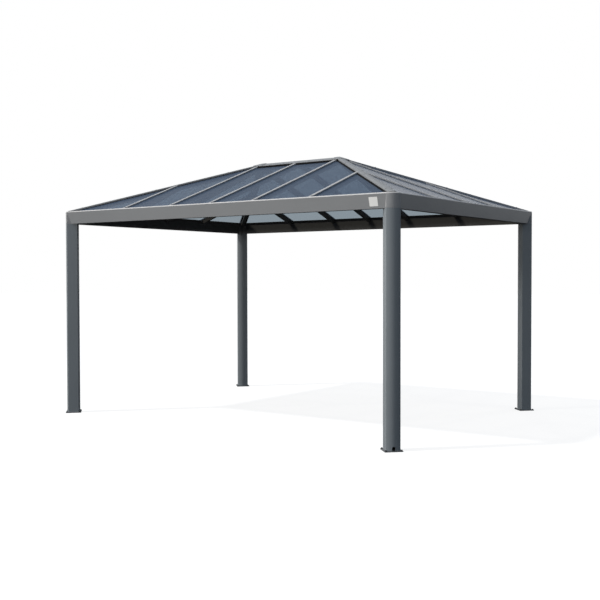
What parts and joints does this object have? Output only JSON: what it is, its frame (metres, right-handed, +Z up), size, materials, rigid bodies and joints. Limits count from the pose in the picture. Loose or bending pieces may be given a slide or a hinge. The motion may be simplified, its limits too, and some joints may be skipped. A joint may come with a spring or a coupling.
{
  "type": "metal gazebo",
  "caption": "Open garden gazebo with rounded hollow posts on base plates, gutter beams and a hipped roof of tinted sheet panels between metal rafters.",
  "frame": {"origin": "on the ground under the middle of the roof", "axes": "+X along the long eave, +Y from front to back, +Z up"},
  "size_m": [4.124, 3.104, 2.691],
  "materials": {
    "frame_paint": "satin powder coat",
    "plate_paint": "satin powder coat",
    "roof_sheet": "tinted clear sheet, smooth",
    "seal_rubber": "matt",
    "bolt_coat": "black coat on steel",
    "blank_white": "plain, no print"
  },
  "bodies": {
    "root": {"front_left_post": "frame_paint", "front_right_post": "frame_paint", "back_right_post": "frame_paint", "back_left_post": "frame_paint", "front_left_base_plate": "plate_paint", "front_right_base_plate": "plate_paint", "back_right_base_plate": "plate_paint", "back_left_base_plate": "plate_paint", "front_left_gutter_corner": "frame_paint", "front_right_gutter_corner": "frame_paint", "back_right_gutter_corner": "frame_paint", "back_left_gutter_corner": "frame_paint", "front_gutter": "frame_paint", "right_gutter": "frame_paint", "back_gutter": "frame_paint", "left_gutter": "frame_paint", "front_left_hip_rafter": "frame_paint", "front_right_hip_rafter": "frame_paint", "back_right_hip_rafter": "frame_paint", "back_left_hip_rafter": "frame_paint", "front_left_hip_cover": "frame_paint", "front_right_hip_cover": "frame_paint", "back_right_hip_cover": "frame_paint", "back_left_hip_cover": "frame_paint", "ridge_beam": "frame_paint", "ridge_cover": "frame_paint", "left_ridge_end_cover": "frame_paint", "right_ridge_end_cover": "frame_paint", "front_left_jack_rafter": "frame_paint", "front_left_rafter": "frame_paint", "front_middle_rafter": "frame_paint", "front_right_rafter": "frame_paint", "front_right_jack_rafter": "frame_paint", "right_front_jack_rafter": "frame_paint", "right_middle_rafter": "frame_paint", "right_back_jack_rafter": "frame_paint", "back_right_jack_rafter": "frame_paint", "back_right_rafter": "frame_paint", "back_middle_rafter": "frame_paint", "back_left_rafter": "frame_paint", "back_left_jack_rafter": "frame_paint", "left_back_jack_rafter": "frame_paint", "left_middle_rafter": "frame_paint", "left_front_jack_rafter": "frame_paint", "front_roof_panels": "roof_sheet", "right_roof_panels": "roof_sheet", "back_roof_panels": "roof_sheet", "left_roof_panels": "roof_sheet"}
  },
  "joints": []
}
